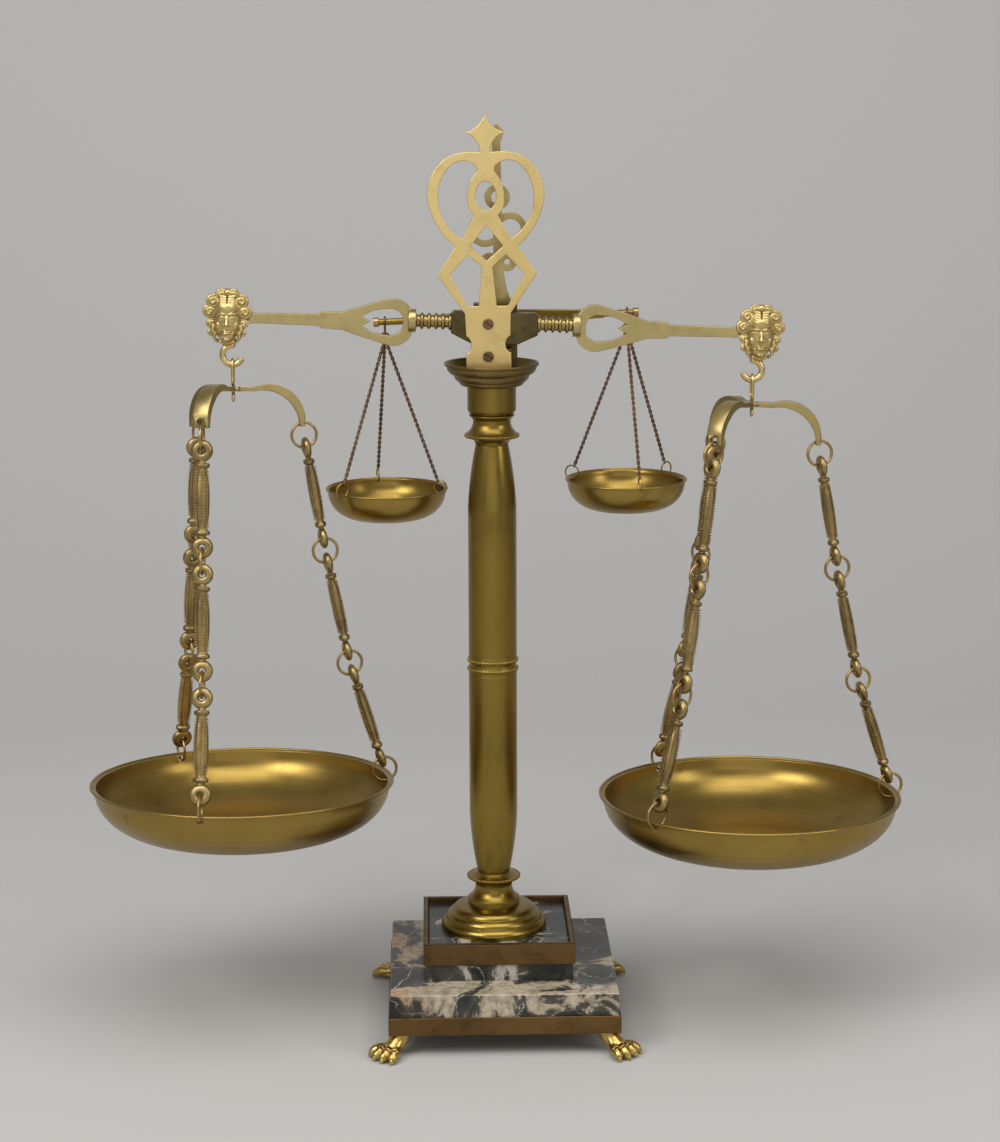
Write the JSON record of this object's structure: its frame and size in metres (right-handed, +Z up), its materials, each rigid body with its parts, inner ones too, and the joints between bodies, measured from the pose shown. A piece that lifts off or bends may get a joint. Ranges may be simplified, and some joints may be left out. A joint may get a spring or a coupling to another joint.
{
  "type": "double balance scale",
  "caption": "Ornamental brass balance: front beam with large pans on cast chains, rear beam with small pans, column and marble base",
  "frame": {"origin": "on the table, under the column's axis, at the middle of the feet", "axes": "+Z up along the column, +X along the front beam to the right, +Y from the front beam to the rear beam"},
  "size_m": [0.6254, 0.2341, 0.697],
  "materials": {
    "bright_brass": "satin cast brass",
    "aged_brass": "antiqued brass",
    "pan_brass": "spun satin brass",
    "wire_brass": "dark aged brass wire",
    "green_marble": "polished marble, dark green with pale veins",
    "steel": "plated steel"
  },
  "bodies": {
    "stand": {"claw_foot_front_left": "bright_brass", "claw_foot_front_right": "bright_brass", "claw_foot_rear_left": "bright_brass", "claw_foot_rear_right": "bright_brass", "foot_screws": "steel", "base_frame": "aged_brass", "lower_marble": "green_marble", "upper_marble": "green_marble", "rim_frame": "aged_brass", "dome_foot": "aged_brass", "lower_knop": "aged_brass", "lower_tube": "aged_brass", "middle_ring": "aged_brass", "upper_tube": "aged_brass", "upper_knop": "aged_brass", "neck_sleeve": "aged_brass", "drip_cup": "aged_brass", "tie_rod": "steel", "tie_nut": "steel", "head_block": "aged_brass", "front_plate": "bright_brass", "rear_plate": "aged_brass", "front_pivot_screw": "steel", "rear_pivot_screw": "steel", "rear_spacer": "aged_brass", "plate_screws": "steel"},
    "front_beam": {"beam_hub": "aged_brass", "spindle_left": "aged_brass", "beam_arm_left": "bright_brass", "mask_left": "bright_brass", "beam_hook_left": "bright_brass", "spindle_right": "aged_brass", "beam_arm_right": "bright_brass", "mask_right": "bright_brass", "beam_hook_right": "bright_brass"},
    "rear_beam": {"rear_beam": "aged_brass", "rear_tips": "aged_brass"},
    "link_left": {"hanger_link_left": "wire_brass"},
    "large_pan_left": {"bail_left": "aged_brass", "chain_links_left": "aged_brass", "chain_rings_left": "wire_brass", "large_pan_left": "pan_brass"},
    "small_hanger_left": {"small_hanger_left": "wire_brass"},
    "small_pan_left": {"gather_ring_left": "wire_brass", "small_chains_left": "wire_brass", "small_rings_left": "wire_brass", "small_pan_left": "pan_brass"},
    "link_right": {"hanger_link_right": "wire_brass"},
    "large_pan_right": {"bail_right": "aged_brass", "chain_links_right": "aged_brass", "chain_rings_right": "wire_brass", "large_pan_right": "pan_brass"},
    "small_hanger_right": {"small_hanger_right": "wire_brass"},
    "small_pan_right": {"gather_ring_right": "wire_brass", "small_chains_right": "wire_brass", "small_rings_right": "wire_brass", "small_pan_right": "pan_brass"}
  },
  "joints": [
    {"name": "front_beam_tilt", "type": "hinge", "parent": "stand", "child": "front_beam", "pos_m": [-0.0027, -0.00355, 0.544], "axis": [0, 1, 0], "range_deg": [-8, 8]},
    {"name": "rear_beam_tilt", "type": "hinge", "parent": "stand", "child": "rear_beam", "pos_m": [0.0121, 0.0438, 0.544], "axis": [0, 1, 0], "range_deg": [-8, 8]},
    {"name": "link_hang_left", "type": "hinge", "parent": "front_beam", "child": "link_left", "pos_m": [-0.19215, -0.00355, 0.52143], "axis": [0, 1, 0], "range_deg": [-8, 8]},
    {"name": "large_pan_swing_left", "type": "hinge", "parent": "link_left", "child": "large_pan_left", "pos_m": [-0.19215, -0.00355, 0.49588], "axis": [1, 0, 0], "range_deg": [-12, 2]},
    {"name": "small_hang_left", "type": "hinge", "parent": "rear_beam", "child": "small_hanger_left", "pos_m": [-0.07981, 0.0438, 0.53971], "axis": [0, 1, 0], "range_deg": [-8, 8]},
    {"name": "small_pan_swing_left", "type": "hinge", "parent": "small_hanger_left", "child": "small_pan_left", "pos_m": [-0.07981, 0.0438, 0.53331], "axis": [1, 0, 0], "range_deg": [-3, 20]},
    {"name": "link_hang_right", "type": "hinge", "parent": "front_beam", "child": "link_right", "pos_m": [0.19439, -0.00355, 0.50725], "axis": [0, 1, 0], "range_deg": [-8, 8]},
    {"name": "large_pan_swing_right", "type": "hinge", "parent": "link_right", "child": "large_pan_right", "pos_m": [0.19439, -0.00355, 0.4817], "axis": [1, 0, 0], "range_deg": [-12, 2]},
    {"name": "small_hang_right", "type": "hinge", "parent": "rear_beam", "child": "small_hanger_right", "pos_m": [0.1041, 0.0438, 0.54549], "axis": [0, 1, 0], "range_deg": [-8, 8]},
    {"name": "small_pan_swing_right", "type": "hinge", "parent": "small_hanger_right", "child": "small_pan_right", "pos_m": [0.1041, 0.0438, 0.53909], "axis": [1, 0, 0], "range_deg": [-3, 20]}
  ],
  "couplings": [
    {"joint": "link_hang_left", "follows": "front_beam_tilt", "ratio": -1},
    {"joint": "small_hang_left", "follows": "rear_beam_tilt", "ratio": -1},
    {"joint": "link_hang_right", "follows": "front_beam_tilt", "ratio": -1},
    {"joint": "small_hang_right", "follows": "rear_beam_tilt", "ratio": -1}
  ]
}
